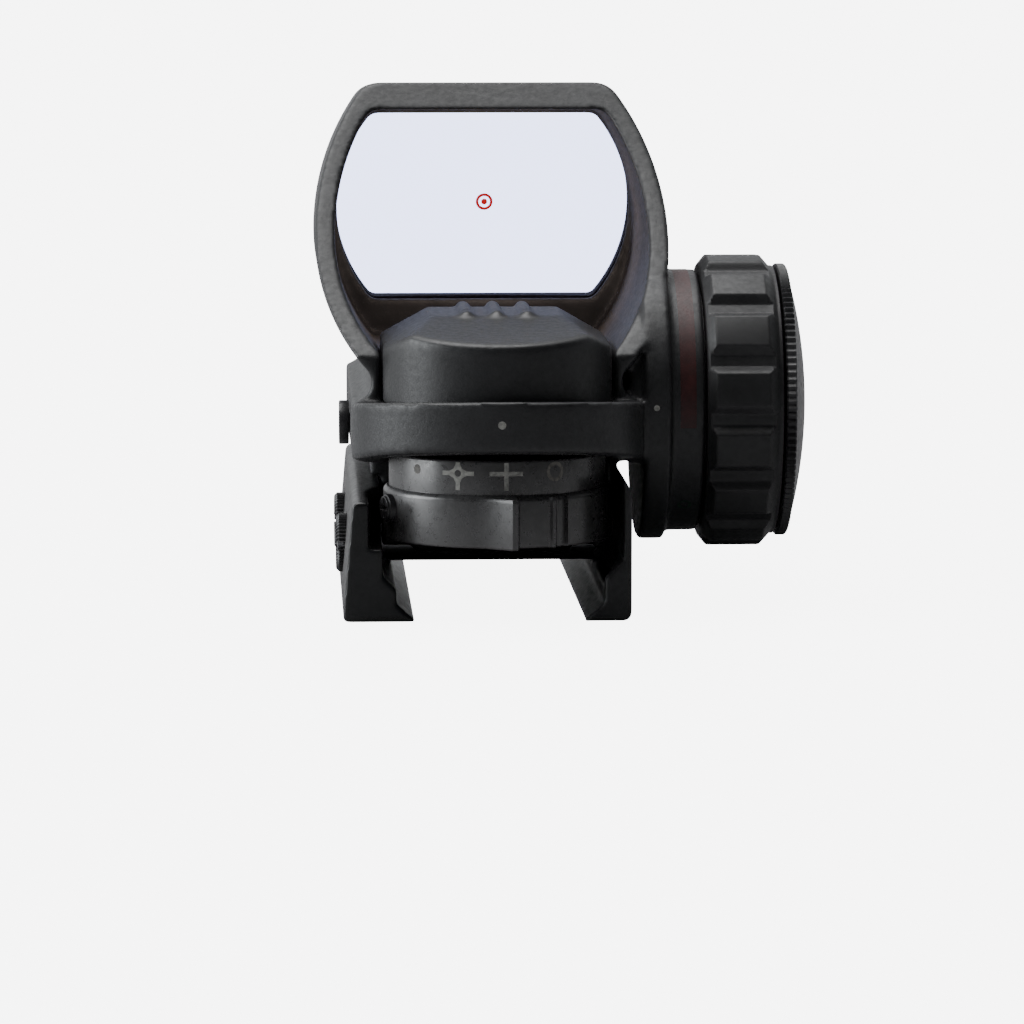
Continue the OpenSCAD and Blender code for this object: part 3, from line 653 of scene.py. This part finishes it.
def inlay(name, shape, place, body, material, top=0.015, bottom=-0.12):
    """A printed mark: a thin closed plate whose points place(u, v, height) lays on a surface."""
    points, faces, rim = shape
    count = len(points)
    verts = [place(u, v, top) for u, v in points] + [place(u, v, bottom) for u, v in points]
    solid = list(faces) + [tuple(i + count for i in reversed(f)) for f in faces]
    solid += [(a, b, b + count, a + count) for a, b in rim]
    mesh = make_mesh(name, verts, solid)
    shade_by_angle(mesh, 40)
    return add_piece(name, mesh, body, material)


def ring_points(radius, count=40):
    """A circle as a closed outline."""
    return [(radius * math.cos(TURN * k / count), radius * math.sin(TURN * k / count))
            for k in range(count)]


def behind_lens(u, v, height):
    """Lays a mark on the rear face of the glass, towards the user."""
    x, z = u + RETICLE_X, v + RETICLE_Z
    return on_lens(x, lens_face(x, z, 0) - height - 0.01, z)


reticle_ring = flat_shape([ring_points(0.96, 56)], [ring_points(0.65, 56)])
inlay("reticle_ring", reticle_ring, behind_lens, "housing", reticle_glow, 0.012, 0.002)
inlay("reticle_dot", flat_shape([ring_points(0.34)]), behind_lens, "housing",
      reticle_glow, 0.012, 0.002)


# ---------------------------------------------------------------- printed marks

def round_wheel(azimuth, z, r):
    """Lays a mark on a cylinder about the wheel's axis."""
    def place(u, v, height):
        return on_wheel(math.radians(azimuth) + u / r, r + height, z + v)
    return place


def round_dial(turn, x, r):
    """Lays a mark on a cylinder about the dial's axis; u runs round it and v along it."""
    def place(u, v, height):
        return on_dial(math.radians(turn) + u / r, r + height, x + v)
    return place


def cross_points(arm, half):
    """A plain cross."""
    return [(half, half), (half, arm), (-half, arm), (-half, half), (-arm, half), (-arm, -half),
            (-half, -half), (-half, -arm), (half, -arm), (half, -half), (arm, -half), (arm, half)]


def under(outline, top):
    """The outline with every point above a height brought down to it."""
    return [(u, min(v, top)) for u, v in outline]


def star_points(arm, half, bulge):
    """A cross whose arms swell towards the centre."""
    points = []
    for k in range(4):
        a = math.pi / 2 * k
        for u, v in ((arm, -half), (arm, half), (bulge + 0.2, half), (bulge * 0.62, bulge * 0.62),
                     (half, bulge + 0.2)):
            points.append((u * math.cos(a) - v * math.sin(a), u * math.sin(a) + v * math.cos(a)))
    return points


inlay("mark_index", flat_shape([ring_points(0.42)]), round_wheel(-0.6, 16.6, BODY_R), "housing",
      M["mark_white"])
# The upper arms stop short of the ring's rounded top edge, which the band overhangs
inlay("mark_cross", flat_shape([under(cross_points(1.75, 0.23), 1.15)]),
      round_wheel(2.2, 11.15, RING_R), "selector", M["mark_white"])
inlay("mark_star", flat_shape([under(star_points(1.75, 0.23, 0.78), 1.15)], [ring_points(0.36, 20)]),
      round_wheel(-23.4, 11.15, RING_R), "selector", M["mark_white"])
inlay("mark_circle", flat_shape([ring_points(1.02)], [ring_points(0.66)]),
      round_wheel(29, 11.25, RING_R), "selector", faint_mark)
inlay("mark_dot", flat_shape([ring_points(0.5)]), round_wheel(-49, 11.3, RING_R), "selector",
      faint_mark)
inlay("mark_dial_off", flat_shape([ring_points(0.32)]), round_dial(88, 16.9, 15.1), "housing",
      M["mark_white"])
inlay("mark_dial_green", flat_shape([ring_points(0.75)], [ring_points(0.45)]),
      round_dial(137, 20.3, 14.2), "housing", M["mark_green"])


def band_mesh(x0, x1, start, end, r):
    """A printed band on the barrel, from one angle to another."""
    steps = 90
    verts, faces = [], []
    for k in range(steps + 1):
        turn = math.radians(start + (end - start) * k / steps)
        verts += [on_dial(turn, r + d, x) for x, d in ((x0, 0.02), (x1, 0.02), (x1, -0.1), (x0, -0.1))]
    for k in range(steps):
        a, b = 4 * k, 4 * k + 4
        faces += [(a + i, b + i, b + (i + 1) % 4, a + (i + 1) % 4) for i in range(4)]
    faces += [(0, 1, 2, 3), (4 * steps, 4 * steps + 1, 4 * steps + 2, 4 * steps + 3)]
    return make_mesh("band", verts, faces)


red_band = band_mesh(19.5, 21.2, -60, 97, 14.2)
shade_by_angle(red_band, 40)
add_piece("mark_red_band", red_band, "housing", M["mark_red"])


# ---------------------------------------------------------------- camera, floor and light

camera_data = bpy.data.cameras.new("camera")
camera = bpy.data.objects.new("camera", camera_data)
bpy.context.scene.collection.objects.link(camera)
camera_data.sensor_width = 36
camera_data.lens = 170.5
camera_data.clip_start = 0.01
camera.location = Vector((-21.8, -532, 66.5)) * MM
look = Vector((0.0454, 0.9919, -0.1180))
camera.rotation_euler = look.to_track_quat("-Z", "Y").to_euler()
bpy.context.scene.camera = camera

floor_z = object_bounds()[0][2] / MM - 0.02
floor_half = 9000
floor_corners = [(-floor_half, -floor_half, floor_z), (floor_half, -floor_half, floor_z),
                 (floor_half, floor_half, floor_z), (-floor_half, floor_half, floor_z)]
floor_mesh = make_mesh("floor", floor_corners, [(0, 1, 2, 3)])
floor = bpy.data.objects.new("floor", floor_mesh)
bpy.context.scene.collection.objects.link(floor)


def floor_finish(shade, glow):
    """Matt pale paper; its glow is only seen straight or through glass, and lights nothing."""
    material, tree, shader, out = new_material("pale_floor")
    blended(tree, noise(tree, 4, 2.0), scaled(shade, 0.99), shade, shader.inputs["Base Color"])
    shader.inputs["Roughness"].default_value = 0.8
    shader.inputs["Specular IOR Level"].default_value = 0.1
    white = tree.nodes.new("ShaderNodeEmission")
    white.inputs["Strength"].default_value = glow
    both = tree.nodes.new("ShaderNodeAddShader")
    tree.links.new(shader.outputs["BSDF"], both.inputs[0])
    tree.links.new(white.outputs["Emission"], both.inputs[1])
    pick = tree.nodes.new("ShaderNodeMixShader")
    path = tree.nodes.new("ShaderNodeLightPath")
    seen = tree.nodes.new("ShaderNodeMath")
    seen.operation = "MAXIMUM"
    tree.links.new(path.outputs["Is Camera Ray"], seen.inputs[0])
    tree.links.new(path.outputs["Is Transmission Ray"], seen.inputs[1])
    factor = seen.outputs["Value"]
    for depth in ("Diffuse Depth", "Glossy Depth"):
        unbounced = tree.nodes.new("ShaderNodeMath")
        unbounced.operation = "LESS_THAN"
        unbounced.inputs[1].default_value = 0.5
        tree.links.new(path.outputs[depth], unbounced.inputs[0])
        both_hold = tree.nodes.new("ShaderNodeMath")
        both_hold.operation = "MULTIPLY"
        tree.links.new(factor, both_hold.inputs[0])
        tree.links.new(unbounced.outputs["Value"], both_hold.inputs[1])
        factor = both_hold.outputs["Value"]
    tree.links.new(factor, pick.inputs["Fac"])
    tree.links.new(shader.outputs["BSDF"], pick.inputs[1])
    tree.links.new(both.outputs["Shader"], pick.inputs[2])
    tree.links.new(pick.outputs["Shader"], out.inputs["Surface"])
    return material


floor_mesh.materials.append(floor_finish((0.30, 0.30, 0.305), 6.5))


def aim_lamp(data, name, place, aim):
    """Links a lamp at a place in millimetres, turned towards an aim."""
    lamp = bpy.data.objects.new(name, data)
    bpy.context.scene.collection.objects.link(lamp)
    lamp.location = Vector(place) * MM
    lamp.rotation_euler = (Vector(aim) - Vector(place)).to_track_quat("-Z", "Y").to_euler()
    return lamp


def soft_light(name, place, aim, width, height, power, colour=(1, 1, 1)):
    """A rectangular softbox."""
    data = bpy.data.lights.new(name, "AREA")
    data.shape = "RECTANGLE"
    data.size = width * MM
    data.size_y = height * MM
    data.energy = power
    data.color = colour
    return aim_lamp(data, name, place, aim)


soft_light("key_left", (-640, -20, 140), (0, -10, 20), 420, 520, 5.4, (0.95, 0.98, 1.0))
overhead = bpy.data.lights.new("overhead", "SUN")
overhead.energy = 3.4
overhead.angle = math.radians(55)
aim_lamp(overhead, "overhead", (-120, 60, 600), (0, 0, 0))

# The studio is bright behind the object and dark on the user's side
world = bpy.data.worlds.new("studio")
bpy.context.scene.world = world
world.use_nodes = True
world_tree = world.node_tree
backdrop = world_tree.nodes["Background"]
backdrop.inputs["Color"].default_value = (0.96, 0.98, 1, 1)
direction = world_tree.nodes.new("ShaderNodeTexCoord").outputs["Generated"]
split = world_tree.nodes.new("ShaderNodeSeparateXYZ")
world_tree.links.new(direction, split.inputs["Vector"])
ranged(world_tree, split.outputs["Y"], 0.015, 0.9, backdrop.inputs["Strength"], -0.1, 0.8)

# Warm light inside the hood: what the coated glass throws back, and what reaches its bulkhead
for name, place, aim, power, colour in (
        ("coating", (0, 16, 34), (0, -40, 30), 0.010, (1.0, 0.60, 0.30)),
        ("bulkhead", (0, 2, 38), (0, 19, 34), 0.011, (1.0, 0.80, 0.68))):
    glow = soft_light(name, place, aim, 20, 12, power, colour)
    glow.visible_camera = False
    glow.visible_transmission = False
    glow.visible_glossy = False
